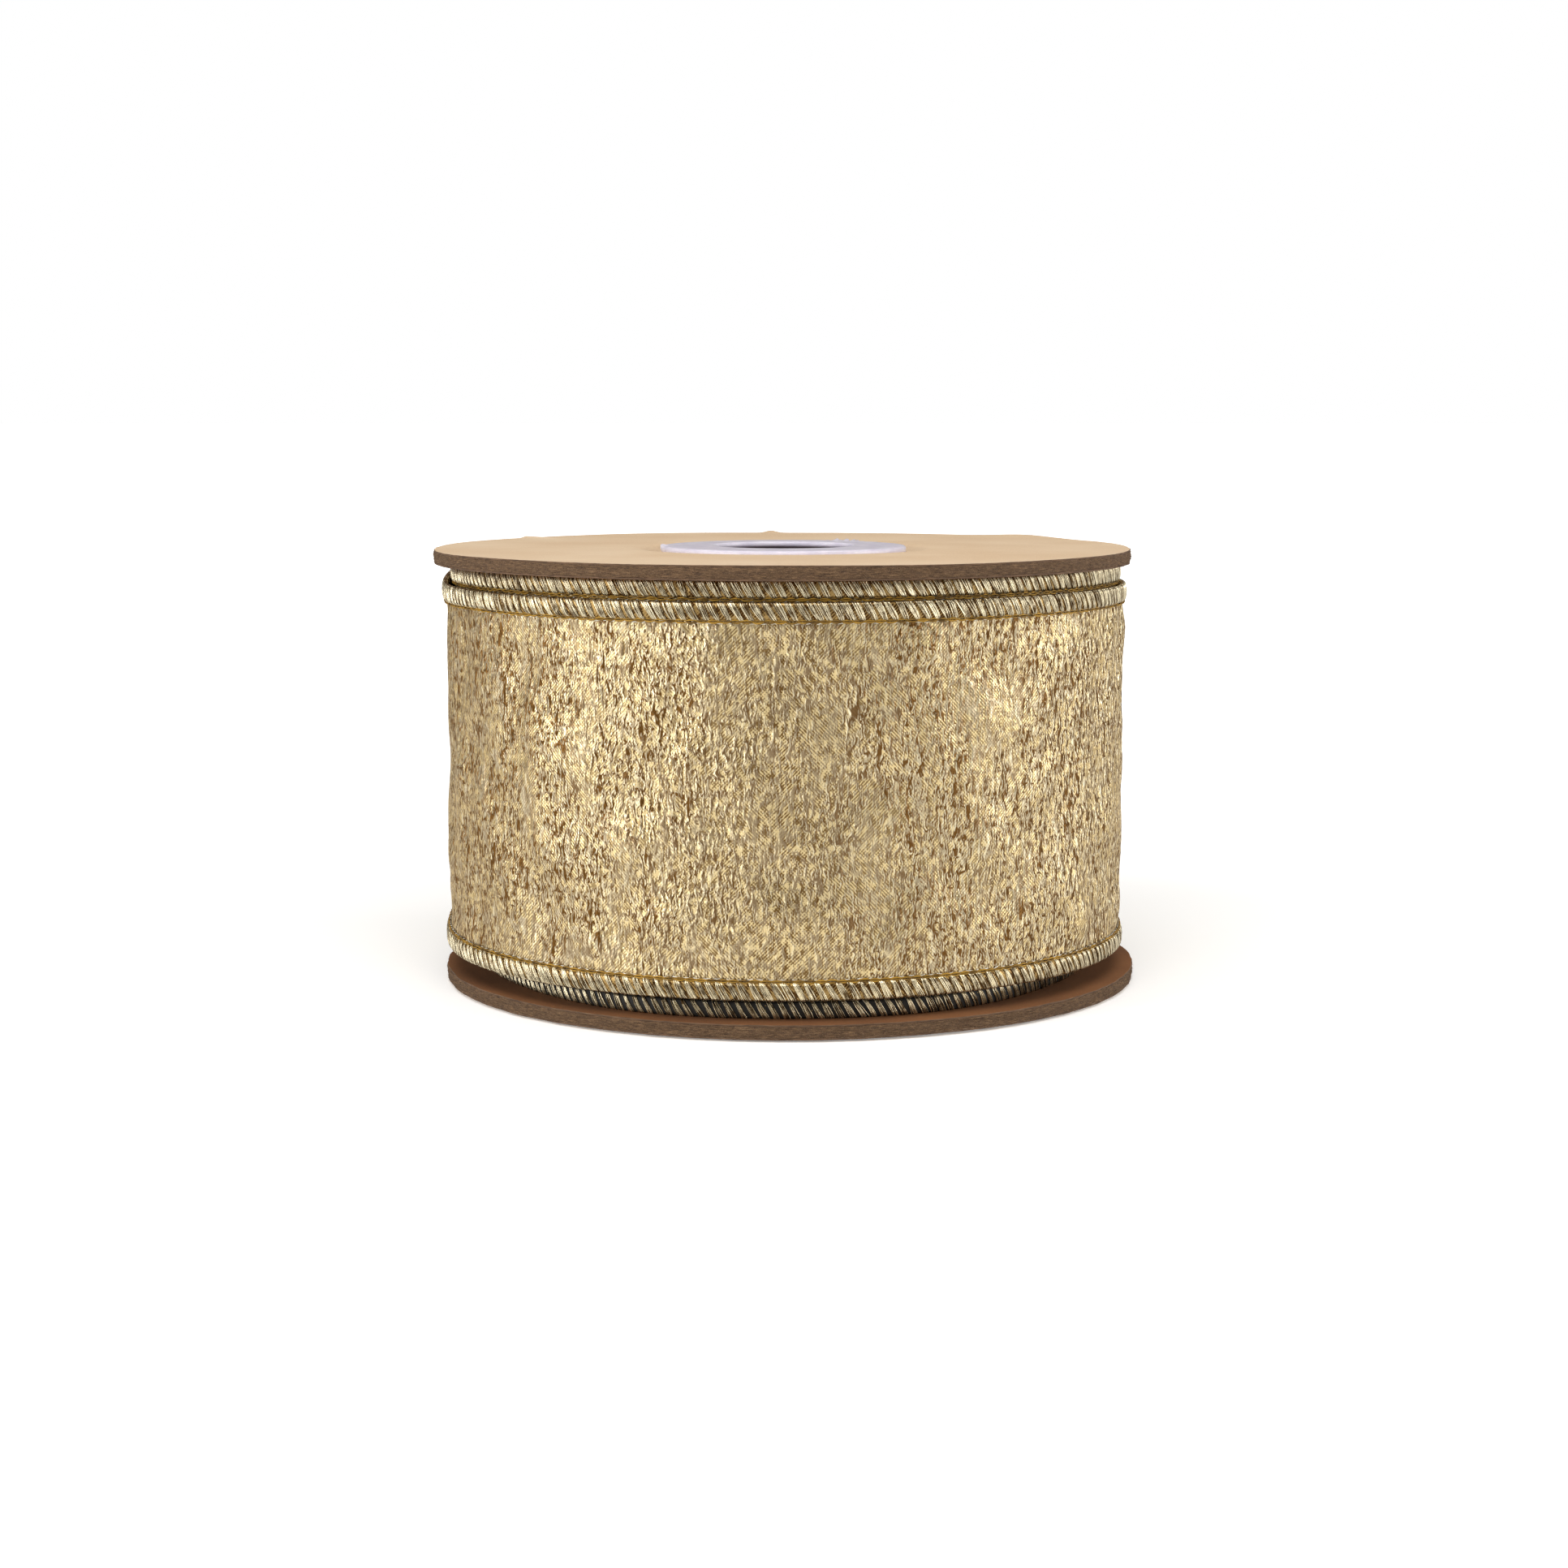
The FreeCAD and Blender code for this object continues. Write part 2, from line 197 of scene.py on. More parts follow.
def soft_noise(shape, spacing, grain, seed):
    """Random relief on a grid, of unit spread, that repeats end to end along its first axis.

    spacing and grain are (along, up), in millimetres: the grid's steps and the relief's size.
    """
    noise = np.random.default_rng(seed).standard_normal(shape)
    along = np.fft.fftfreq(shape[0], spacing[0])[:, None]
    up = np.fft.fftfreq(shape[1], spacing[1])[None, :]
    keep = np.exp(-2 * ((along * grain[0]) ** 2 + (up * grain[1]) ** 2))
    relief = np.fft.ifft2(np.fft.fft2(noise) * keep).real
    return relief / relief.std()


# ---------------------------------------------------------------- node tools
class Look:
    """A material on one Principled shader, with short calls for its nodes."""

    def __init__(self, name, **values):
        self.material = bpy.data.materials.new(name)
        self.material.use_nodes = True
        self.tree = self.material.node_tree
        self.shader = self.tree.nodes["Principled BSDF"]
        self.height = None
        for socket, value in values.items():
            self.shader.inputs[socket.replace("_", " ")].default_value = value

    def node(self, kind, inputs=(), **settings):
        made = self.tree.nodes.new(f"ShaderNode{kind}")
        for key, value in settings.items():
            setattr(made, key, value)
        for socket, value in dict(inputs).items():
            self.plug(made.inputs[socket], value)
        return made

    def plug(self, socket, value):
        if isinstance(value, bpy.types.NodeSocket):
            self.tree.links.new(value, socket)
        else:
            socket.default_value = value

    def math(self, operation, *values):
        made = self.node("Math", operation=operation)
        for socket, value in zip(made.inputs, values):
            self.plug(socket, value)
        return made.outputs[0]

    def times(self, first, second):
        return self.math("MULTIPLY", first, second)

    def vector_math(self, operation, first, second):
        return self.node("VectorMath", {0: first, 1: second}, operation=operation).outputs[0]

    def length(self, vector):
        return self.node("VectorMath", {0: vector}, operation="LENGTH").outputs["Value"]

    def component(self, vector, index):
        return self.node("SeparateXYZ", {"Vector": vector}).outputs[index]

    def scaled(self, source, scale):
        return self.node("Mapping", {"Vector": source, "Scale": scale}).outputs[0]

    def attribute(self, name):
        return self.node("Attribute", attribute_name=name).outputs["Vector"]

    def place(self):
        """The place in the object, in millimetres."""
        return self.scaled(self.node("TexCoord").outputs["Object"], (1 / MM,) * 3)

    def normal(self):
        return self.node("NewGeometry").outputs["Normal"]

    def noise(self, where, scale=(1, 1, 1), detail=2.0, rough=0.5):
        inputs = {"Vector": self.scaled(where, scale), "Scale": 1.0, "Detail": detail,
                  "Roughness": rough}
        return self.node("TexNoise", inputs).outputs["Fac"]

    def ramp(self, factor, *stops):
        """A colour or grey ramp from (position, colour) stops."""
        made = self.node("ValToRGB", {"Fac": factor})
        elements = made.color_ramp.elements
        while len(elements) < len(stops):
            elements.new(0.5)
        for element, (position, colour) in zip(elements, stops):
            element.position = position
            shown = colour if hasattr(colour, "__len__") else [colour] * 3
            element.color = (*shown, 1)
        return made.outputs["Color"]

    def mix(self, factor, first, second, blend="MIX"):
        made = self.node("Mix", data_type="RGBA", blend_type=blend)
        self.plug(made.inputs["Factor"], factor)
        for socket, value in ((made.inputs[6], first), (made.inputs[7], second)):
            self.plug(socket, value if isinstance(value, bpy.types.NodeSocket) else (*value, 1))
        return made.outputs[2]

    def colour(self, value):
        self.plug(self.shader.inputs["Base Color"], value)

    def rough(self, value):
        self.plug(self.shader.inputs["Roughness"], value)

    def bump(self, height, distance, strength=1.0):
        """Adds relief; distance is in millimetres."""
        inputs = {"Height": height, "Distance": distance * MM, "Strength": strength}
        made = self.node("Bump", inputs)
        if self.height is not None:
            self.tree.links.new(self.height, made.inputs["Normal"])
        self.height = made.outputs["Normal"]
        self.tree.links.new(self.height, self.shader.inputs["Normal"])


def srgb(red, green, blue):
    """A colour given as 0..255 screen values, as the linear values that a shader takes."""

    def linear(value):
        return ((value / 255 + 0.055) / 1.055) ** 2.4 if value > 10 else value / 3295

    return linear(red), linear(green), linear(blue)


# ---------------------------------------------------------------- materials
def kraft_look(name, light, dark):
    """Kraft liner: smooth brown paper with fine pale and dark fibres, and a raw cut edge."""
    look = Look(name, Roughness=0.82)
    where = look.place()
    cloud = look.noise(where, (0.05, 0.05, 0.05), 3.0)
    base = look.mix(look.ramp(cloud, (0.35, 0.0), (0.7, 1.0)), dark, light)
    fibres = look.noise(where, (4.0, 1.1, 3.0), 4.0, 0.65)
    pale = [min(1.15 * c, 1) for c in light]
    base = look.mix(look.ramp(fibres, (0.52, 0.0), (0.74, 0.5)), base, pale)
    specks = look.noise(where, (1.6, 2.3, 2.0), 5.0, 0.7)
    face = look.mix(look.ramp(specks, (0.60, 0.0), (0.72, 0.55)), base, [0.72 * c for c in dark])
    cut = look.noise(where, (0.5, 0.5, 9.0), 3.0)
    cut = look.ramp(cut, (0.35, srgb(70, 50, 34)), (0.65, srgb(116, 88, 64)))
    level = look.math("ABSOLUTE", look.component(look.normal(), 2))
    look.colour(look.mix(look.ramp(level, (0.82, 0.0), (0.97, 1.0)), cut, face))
    look.bump(fibres, 0.05, 0.5)
    return look.material


def chipboard_look():
    """The board's raw cut edge: thin grey-brown plies with pale and dark fibre ends."""
    look = Look("chipboard_edge", Roughness=0.95)
    where = look.place()
    plies = look.noise(where, (0.8, 0.8, 7.5), 4.0, 0.6)
    base = look.ramp(plies, (0.30, srgb(58, 41, 28)), (0.46, srgb(84, 61, 41)),
                     (0.58, srgb(106, 80, 55)), (0.72, srgb(136, 106, 75)))
    grain = look.noise(where, (7.0, 7.0, 11.0), 3.0, 0.6)
    base = look.mix(look.ramp(grain, (0.50, 0.0), (0.70, 0.5)), base, srgb(166, 136, 104))
    look.colour(look.mix(look.ramp(grain, (0.30, 0.4), (0.44, 0.0)), base, srgb(66, 48, 35)))
    look.bump(plies, 0.25, 0.6)
    look.bump(grain, 0.15, 0.6)
    return look.material


def plastic_look():
    """The hub's lilac plastic: cloudy and a little waxy. Its bore wall below the lip is painted dark
    grey, as painted shade deep in the hole.
    """
    look = Look("lilac_plastic", Roughness=0.32, Subsurface_Weight=0.2, IOR=1.49,
                Subsurface_Scale=0.004)
    where = look.place()
    cloud = look.noise(where, (0.35, 0.35, 0.6), 3.0)
    face = look.ramp(cloud, (0.35, srgb(212, 206, 224)), (0.65, srgb(228, 222, 236)))
    # painted shade: inside the bore, 0.65 to 0.95 mm in from either end of the hub, the plastic is
    # mixed to dark grey for the shade deep in the hole
    height = look.component(where, 2)
    from_end = look.math("MINIMUM", height, look.math("SUBTRACT", float(TOTAL_HEIGHT), height))
    bore_shade_depth = look.node("MapRange", {"Value": from_end, "From Min": 0.65, "From Max": 0.95})
    in_bore = look.math("LESS_THAN", look.length(look.scaled(where, (1, 1, 0))), SLEEVE_RADIUS + 0.6)
    sleeve = look.times(bore_shade_depth.outputs["Result"], in_bore)
    look.colour(look.mix(sleeve, face, srgb(112, 100, 104)))
    look.shader.inputs["Subsurface Radius"].default_value = (1.0, 0.8, 0.9)
    look.bump(look.noise(where, (1.6, 1.6, 0.8), 3.0), 0.10, 0.35)
    return look.material


def folds(look, where, scale, width):
    """Narrow folds that run mostly up the cloth: 1 on a fold's crest, 0 between folds."""
    wander = look.noise(where, scale, 2.0)
    crest = width / 3
    return look.ramp(wander, (0.5 - width, 0.0), (0.5 - crest, 1.0),
                     (0.5 + crest, 1.0), (0.5 + width, 0.0))


def fold_layer(look, where, scale, width, step, seed):
    """A layer of folds, broken into dashes: masks of its crests and of the creases beside them,
    which carry the painted highlights and painted shade, and its slope.

    scale is how fast the folds vary in a millimetre, along the ribbon and up it; a crease lies
    step millimetres beside its crest.
    """
    elsewhere = look.vector_math("ADD", where, (seed, seed, 0))
    broken = look.noise(elsewhere, np.array(scale) * (0.9, 2.2, 1), 1.0)
    broken = look.ramp(broken, (0.43, 0.0), (0.52, 1.0))

    def beside(offset):
        moved = look.vector_math("ADD", where, (offset, 0, 0))
        return look.times(folds(look, moved, scale, width), broken)

    crest, crease, other_side = beside(0), beside(-step), beside(step)
    return crest, crease, look.math("SUBTRACT", crease, other_side)


def tilt_normal(look, sideways, upwards):
    """Turns the surface's normal by two slopes, along the ribbon and up it."""
    normal = look.normal()
    along = look.vector_math("CROSS_PRODUCT", (0.0, 0.0, 1.0), normal)
    push = look.node("VectorMath", {0: along, "Scale": sideways}, operation="SCALE").outputs[0]
    rise = look.node("CombineXYZ", {"Z": upwards}).outputs[0]
    total = look.vector_math("ADD", look.vector_math("ADD", normal, push), rise)
    tilted = look.node("VectorMath", {0: total}, operation="NORMALIZE").outputs[0]
    look.plug(look.shader.inputs["Normal"], tilted)


def weave_relief(look, where):
    """Twill lines that lean one way, the other way, or cross, by patches: -1 to 1."""
    along, up = look.component(where, 0), look.component(where, 1)
    per_mm = TAU / TWILL_PITCH
    falling = look.math("SINE", look.times(look.math("ADD", along, up), per_mm))
    rising = look.math("SINE", look.times(look.math("SUBTRACT", along, up), per_mm))
    patches = look.noise(where, (0.10, 0.05, 1.0), 1.0)
    return look.mix(look.ramp(patches, (0.34, 0.0), (0.66, 1.0)), rising, falling)


def lame_look(name, tint=(1.0, 1.0, 1.0)):
    """Gold lamé: a fine weave of foil thread, with painted highlights on its folds and painted brown
    shade in the creases beside them.
    """

    def tone(*screen):
        return [a * b for a, b in zip(srgb(*screen), tint)]

    look = Look(name, Metallic=0.62, Specular_Tint=(0.88, 0.70, 0.46, 1.0))
    cloth = look.attribute("cloth")
    wander = look.node("TexNoise", {"Vector": look.scaled(cloth, (0.6, 0.4, 1.0)), "Scale": 1.0,
                                    "Detail": 2.0}).outputs["Color"]
    where = look.vector_math("ADD", cloth, look.vector_math("MULTIPLY", wander, (1.2, 1.2, 0.0)))
    tall = fold_layer(look, where, (0.85, 0.15, 1.0), 0.048, 0.20, 3.0)
    short = fold_layer(look, where, (1.6, 0.40, 1.0), 0.070, 0.17, 7.0)
    broad = fold_layer(look, where, (0.40, 0.13, 1.0), 0.042, 0.42, 11.0)

    # the folds' strength varies by patches, and the broad ones are only where the cloth is slack
    patches = look.ramp(look.noise(cloth, (0.16, 0.05, 1.0), 2.0), (0.36, 0.60), (0.54, 1.0))
    crinkled = look.component(look.attribute("crinkle"), 0)
    amount = look.times(patches, crinkled)
    slack = look.times(look.math("SUBTRACT", crinkled, CRINKLE_IN_FRONT), 1.5)

    weave = weave_relief(look, cloth)
    slope = look.math("ADD", look.times(tall[2], 0.55), look.times(short[2], 0.45))
    slope = look.math("ADD", look.times(slope, amount), look.times(weave, 0.14))
    slope = look.math("ADD", slope, look.times(broad[2], look.times(slack, 0.4)))
    tilt_normal(look, slope, look.times(weave, 0.06))

    grain = look.noise(cloth, (1.0, 0.7, 1.0), 3.0)
    grain = look.math("MULTIPLY_ADD", grain, 2.6, -0.8)
    threads = look.math("MULTIPLY_ADD", weave, 0.35, grain)
    threads = look.ramp(threads, (0.30, 0.0), (0.66, 1.0))
    threads = look.math("MAXIMUM", threads, look.times(slack, 0.6))
    plain = look.mix(threads, tone(106, 76, 34), tone(232, 209, 156))

    # painted highlight: the fold crests are mixed towards a near-white tone, for glints of the
    # lights
    painted_glints = look.times(look.math("MAXIMUM", tall[0], short[0]), look.times(amount, 0.85))
    painted_glints = look.math("MAXIMUM", painted_glints, look.times(broad[0], slack))
    # painted shade: the creases beside the crests are mixed to dark brown, for the shade under each
    # fold
    painted_crease_shade = look.times(look.math("MAXIMUM", tall[1], short[1]), look.times(amount, 1.3))
    painted_crease_shade = look.math("MAXIMUM", painted_crease_shade, look.times(broad[1], look.times(slack, 0.8)))
    with_painted_glints = look.mix(painted_glints, plain, tone(255, 246, 216))
    look.colour(look.mix(look.math("MINIMUM", painted_crease_shade, 1.0), with_painted_glints, tone(104, 70, 26)))
    shine = look.noise(cloth, (1.2, 0.4, 1.0), 3.0)
    look.rough(look.ramp(shine, (0.3, 0.26), (0.7, 0.44)))
    return look.material


def thread_look(name, light, dark, metallic, roughness):
    """Thread: each filament has a tone of its own, and varies along its length."""
    look = Look(name, Roughness=roughness, Metallic=metallic)
    where = look.place()
    own = look.node("NewGeometry").outputs["Random Per Island"]
    along = look.noise(where, (0.9, 0.9, 0.9), 3.0, 0.6)
    tone = look.math("ADD", look.times(own, 0.5), look.times(along, 1.1))
    look.colour(look.ramp(tone, (0.48, dark), (1.0, light)))
    look.bump(look.noise(where, (9.0, 9.0, 9.0), 2.0), 0.04, 0.5)
    return look.material


def paper_look(name, light, dark):
    """Paperboard and paper tape: plain brown or cream paper with a fine level grain."""
    look = Look(name, Roughness=0.85)
    where = look.place()
    grain = look.noise(where, (0.8, 0.8, 4.0), 3.0)
    look.colour(look.ramp(grain, (0.35, dark), (0.65, light)))
    look.bump(grain, 0.08, 0.5)
    return look.material


def steel_look():
    look = Look("edge_wire_steel", Metallic=1.0)
    scale = look.noise(look.place(), (2.0, 2.0, 2.0), 3.0)
    look.colour(look.ramp(scale, (0.3, srgb(120, 118, 115)), (0.7, srgb(176, 174, 170))))
    look.rough(look.ramp(scale, (0.3, 0.30), (0.7, 0.45)))
    return look.material


def tape_look():
    """Clear tape: glossy film with faint streaks in its glue."""
    look = Look("clear_tape_film", Roughness=0.12, Alpha=0.22)
    streaks = look.noise(look.place(), (0.2, 0.2, 3.0), 3.0)
    look.colour(look.ramp(streaks, (0.3, srgb(214, 208, 190)), (0.7, srgb(248, 246, 238))))
    look.bump(streaks, 0.02, 0.4)
    return look.material


KRAFT_OUTER = kraft_look("kraft_outer", srgb(222, 197, 166), srgb(213, 184, 150))
# the inner liners' dark orange brown is partly the paper's own tone, partly painted shade under the
# pack and painted orange reflection from the gold ribbon
KRAFT_INNER_AND_SHADE = kraft_look("kraft_inner_and_shade", srgb(134, 86, 46), srgb(108, 67, 33))
CHIPBOARD = chipboard_look()
PLASTIC = plastic_look()
LAME = lame_look("gold_lame_cloth")
# painted shade: the hems' lamé is a darker copy of the cloth, for the shade between the stitch
# bundles
SHADED_HEM_LAME = lame_look("hem_lame_painted_shade", (0.44, 0.36, 0.25))
# painted shade: a near-black cloth for the low turn's hem, which lies in the shade under the outer
# turn
PAINTED_SHADE_CLOTH = thread_look("painted_shade_cloth", srgb(40, 38, 36), srgb(8, 8, 8), 0.2, 0.6)
LUREX = thread_look("silver_gold_lurex", srgb(246, 234, 200), srgb(96, 72, 38), 0.88, 0.22)
OCHRE = thread_look("ochre_thread", srgb(166, 126, 38), srgb(88, 62, 14), 0.25, 0.5)
PALE = thread_look("pale_thread", srgb(252, 250, 240), srgb(214, 208, 190), 0.5, 0.35)
STEEL = steel_look()
TAPE = tape_look()
CORE_PAPER = paper_look("core_paperboard", srgb(170, 134, 98), srgb(136, 104, 74))
STARTER_PAPER = paper_look("starter_tape_paper", srgb(232, 218, 184), srgb(208, 192, 156))


# ---------------------------------------------------------------- turned pieces
def lathe(name, profile, material, segments, change=None, extra=()):
    """A closed profile of (radius, height) turned about Z; change(angle, r, z) may vary it."""
    angle = TAU * np.arange(segments)[:, None] / segments
    radius = np.broadcast_to(profile[:, 0], (segments, len(profile))).copy()
    height = np.broadcast_to(profile[:, 1], (segments, len(profile))).copy()
    if change:
        radius, height = change(angle, radius, height)
    points = np.stack([radius * np.cos(angle), radius * np.sin(angle), height], axis=-1)
    body = (points.reshape(-1, 3), [grid_faces(segments, len(profile), True, True)])
    points, faces = join([body, *extra])
    return mesh_piece(name, points, faces, material)


def resampled(corners, spacing):
    """A closed outline through corners, with points no further apart than spacing."""
    out = []
    for start, end in zip(corners, corners[1:] + corners[:1]):
        start, end = np.array(start, float), np.array(end, float)
        steps = max(1, math.ceil(np.linalg.norm(end - start) / spacing))
        out += [start + (end - start) * i / steps for i in range(steps)]
    return np.array(out)


def layer_profile(low, high):
    """One flange layer between two heights above its outer face, finer towards its rim."""
    rim, shoulder, rim_step = BOARD_RADIUS, BOARD_RADIUS - 0.05, 0.11
    steps = [HOLE_RADIUS, *np.linspace(DISH_START, DISH_END, 9),
             *np.linspace(DISH_END + 2, rim - 2, 12), rim - 1, rim - 0.4, rim - 0.15]
    edge = np.linspace(low, high, max(3, round((high - low) / rim_step)) + 1)
    face = [(r, low) for r in steps]
    rim_points = [(rim, z) for z in edge[1:-1]]
    back = [(r, high) for r in reversed(steps)]
    return np.array([*face, (shoulder, low), *rim_points, (shoulder, high), *back])


def rim_wear(angle, bumps):
    """How far the rim is turned outwards. A bump is (angle, half width, height), and its angle
    and half width are in degrees."""
    degrees = np.degrees(angle)
    rise = 0.05 * np.sin(3 * angle + 1.0) + 0.04 * np.sin(7 * angle)
    for middle, half_width, height in bumps:
        rise = rise + height * np.exp(-((degrees - middle) / half_width) ** 2)
    return rise


def make_flange(name, node_prefix, top, shift, bumps, seed):
    """A flange's three layers, with its plies, worn rim and pressed-in middle.

    shift is how far the rim stands out at +X, and in at -X.
    """
    base = node_box("lower_hub")[0][2] + FLANGE_INSET
    rng = np.random.default_rng(seed)
    segments = 1440
    rows = 60                   # of noise across the edge; a few more keep its ends from matching
    fray = soft_noise((segments, rows + 4), (0.27, 0.1), (0.22, 0.12), seed)
    swell = soft_noise((segments, rows + 4), (0.27, 0.1), (4.0, 2.0), seed + 1)

    def level(height):
        """The height in the object, from the height above the flange's outer face."""
        return TOTAL_HEIGHT - base - height if top else base + height

    def worn(roughness):
        """The change that frays a layer's edge, turns up its rim and presses in its middle."""

        def change(angle, radius, height):
            outer = smooth(radius, BOARD_RADIUS - 1.2, BOARD_RADIUS)
            row = (height / FLANGE_THICKNESS * rows).astype(int)
            column = np.broadcast_to(np.arange(segments)[:, None], row.shape)
            radius = radius + outer * (roughness * fray[column, row] + 0.06 * swell[column, row])
            radius = radius + OVERSIZE
            pressed = DISH_DEPTH * (1 - smooth(radius, DISH_START, DISH_END))
            lifted = rim_wear(angle, bumps) * smooth(radius, BOARD_RADIUS - 14, BOARD_RADIUS)
            lifted = lifted * (1 - smooth(height, 0.2, 2.2))
            height = level(height + pressed - lifted)
            radius = radius + shift * np.cos(angle) * smooth(radius, DISH_END, BOARD_RADIUS)
            return radius, height

        return change

    def fibres(count):
        """Loose fibre ends that stand out of the raw edge."""
        angle = rng.uniform(0, TAU, count)
        start = rng.uniform(0.1, 2.3, count)
        length = rng.uniform(0.2, 0.8, count)[:, None]
        lean = rng.normal(0, 0.6, (count, 2))
        steps = np.linspace(0, 1, 4)[None, :]
        rim = BOARD_RADIUS - 0.1 + shift * np.cos(angle)
        radius = rim[:, None] + length * steps * 0.7
        turned = angle[:, None] + lean[:, :1] * steps * length / BOARD_RADIUS
        height = level(start[:, None] + lean[:, 1:] * steps ** 2 * length * 0.6)
        paths = stacked(radius * np.cos(turned), radius * np.sin(turned), height)
        thick = np.linspace(0.022, 0.008, 4)[None, :]
        return tubes(paths, thick, np.array([0.0, 0.0, 1.0]), 4)

    inner_face = FLANGE_THICKNESS - LINER
    layers = [
        ("outer_liner", 0.0, LINER, KRAFT_OUTER, 0.03, "kraft_liner", []),
        ("board", LINER, inner_face, CHIPBOARD, 0.05, "chipboard", [fibres(900)]),
        ("inner_liner", inner_face, FLANGE_THICKNESS, KRAFT_INNER_AND_SHADE, 0.03, "kraft_liner", []),
    ]
    for layer, low, high, material, roughness, slot, extra in layers:
        profile = layer_profile(low, high)
        if top:
            profile = profile[::-1]
        piece = lathe(f"{name}_{layer}", profile, material, segments, worn(roughness), extra)
        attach(piece, SPOOL)
        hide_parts(f"{node_prefix}_{layer}")


make_flange("top_disc", "upper_flange", True, -0.32,
            [(41, 9, 0.5), (142.8, 1.0, 0.32), (92.4, 1.3, 0.42)], 11)
make_flange("bottom_disc", "lower_flange", False, 1.04, [], 23)


def make_hub(name, node, top):
    """A hub: a flat rim, a lip round the hole, and the sleeve in the core."""
    low, high = node_box(node)
    length = high[2] - low[2]
    lip, bore, sleeve, rim = 12.5, 12.95, SLEEVE_RADIUS, RIM_RADIUS
    dip = 0.02 if top else 0.0
    corners = [
        (lip + 0.25, 0.0), (17.0, 3 * dip), (rim - 1.2, 2 * dip), (rim - 0.3, 0.1), (rim, 0.35),
        (rim, 1.15), (rim - 0.2, 1.4), (sleeve + 0.3, 1.4), (sleeve, 1.8), (sleeve, length),
        (bore, length), (bore, 1.05), (lip, 0.8), (lip, 0.2),
    ]
    profile = resampled(corners, 1.2)
    segments = 480
    ragged = soft_noise((segments, 8), (0.28, 1.0), (0.5, 1.0), 31 + top)

    def change(angle, radius, height):
        # moulding flash stands up from the upper rim, to the right of the back and at the left
        degrees = np.degrees(angle)
        flash = np.exp(-((degrees - 58) / 12) ** 2) + 0.8 * np.exp(-((degrees - 182) / 7) ** 2)
        edge = smooth(radius, rim - 0.9, rim) * (height < 1.3)
        bits = np.clip(ragged[:, :1], 0, 2) * flash
        if top:
            height = height - 0.34 * bits * edge
            radius = radius + 0.25 * bits * edge
        wobble = 0.05 * np.sin(2 * angle + 0.6) + 0.03 * np.sin(5 * angle)
        radius = radius + wobble * edge
        height = TOTAL_HEIGHT - height if top else low[2] + height
        return radius, height

    piece = lathe(name, profile[::-1] if top else profile, PLASTIC, segments, change)
    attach(piece, SPOOL)
    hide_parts(node)


make_hub("hub_top", "upper_hub", True)
make_hub("hub_bottom", "lower_hub", False)


# ---------------------------------------------------------------- the winding
# How the turns lie: the inner ones rest on the lower flange, the next rises, the one before
# last is pushed up under the upper flange, and the last drops between. They step at the back
# and the left.
LOWEST = -3.62
STEPS = [(35.20, 35.34, 3.92), (36.30, 36.44, 3.1), (37.42, 37.545, -3.4)]
STRAY = 0.45            # the hidden turns stray up by up to twice this
STRAY_RATE = 2.4        # in radians a turn
SLACK_END = 35.25       # the inner turns, drawn in at the sides, end here
SLACK_SHARE = 0.077
LOOSE = 0.38            # the last turn stands off this far at the left


def turn_lift(turn):
    """How far the ribbon stands above its middle height."""
    rise = LOWEST + sum(change * smooth(turn, start, end) for start, end, change in STEPS)
    hidden = 1 - smooth(turn, 34.0, 34.3)
    return rise + hidden * STRAY * (1 + np.sin(STRAY_RATE * turn))


def turn_radius(turn):
    """The hem's middle, from the axis."""
    radius = RADIUS_AT_ZERO + PITCH * turn
    angle = TAU * turn
    from_front = np.abs((np.degrees(angle) + 90 + 180) % 360 - 180)
    inner = 1 - smooth(turn, SLACK_END - 0.1, SLACK_END + 0.1)
    drawn_in = SLACK_SHARE * smooth(from_front, 20, 62) * inner
    radius = radius - (radius - CORE_RADIUS) * drawn_in
    loose = LOOSE * smooth(turn, 37.3, 37.45) * np.clip(-np.cos(angle), 0, 1) ** 2
    tail = TAIL_LIFT * smooth(turn, HINGE_TURN - 0.03, HINGE_TURN + 0.01)
    return radius + loose + tail


def on_ribbon(turn, out, height):
    """Points on the ribbon from its turn, its outward offset and its height on the ribbon."""
    radius = turn_radius(turn) + out
    angle = TAU * turn
    return stacked(radius * np.cos(angle), radius * np.sin(angle), height + turn_lift(turn))


def along_ribbon(turn):
    """The ribbon's direction, level and unit length."""
    angle = TAU * np.asarray(turn)
    return np.stack([-np.sin(angle), np.cos(angle), 0 * angle], axis=-1)


def outwards(turn):
    angle = TAU * np.asarray(turn)
    return np.stack([np.cos(angle), np.sin(angle), 0 * angle], axis=-1)


def ribbon_length(first, last):
    """Millimetres along the ribbon between two turns."""
    mean = RADIUS_AT_ZERO + PITCH * (first + last) / 2
    return TAU * mean * (last - first)


def distance_along(turn, first, last):
    """Millimetres along the ribbon of turns that are spaced evenly from first to last."""
    share = (turn - first) / (last - first)
    return ribbon_length(0, first) + share * ribbon_length(first, last)


def from_edge(upper, inset):
    """The height on the ribbon at an inset from its upper or its lower edge."""
    return RIBBON_HIGH - inset if upper else RIBBON_LOW + inset


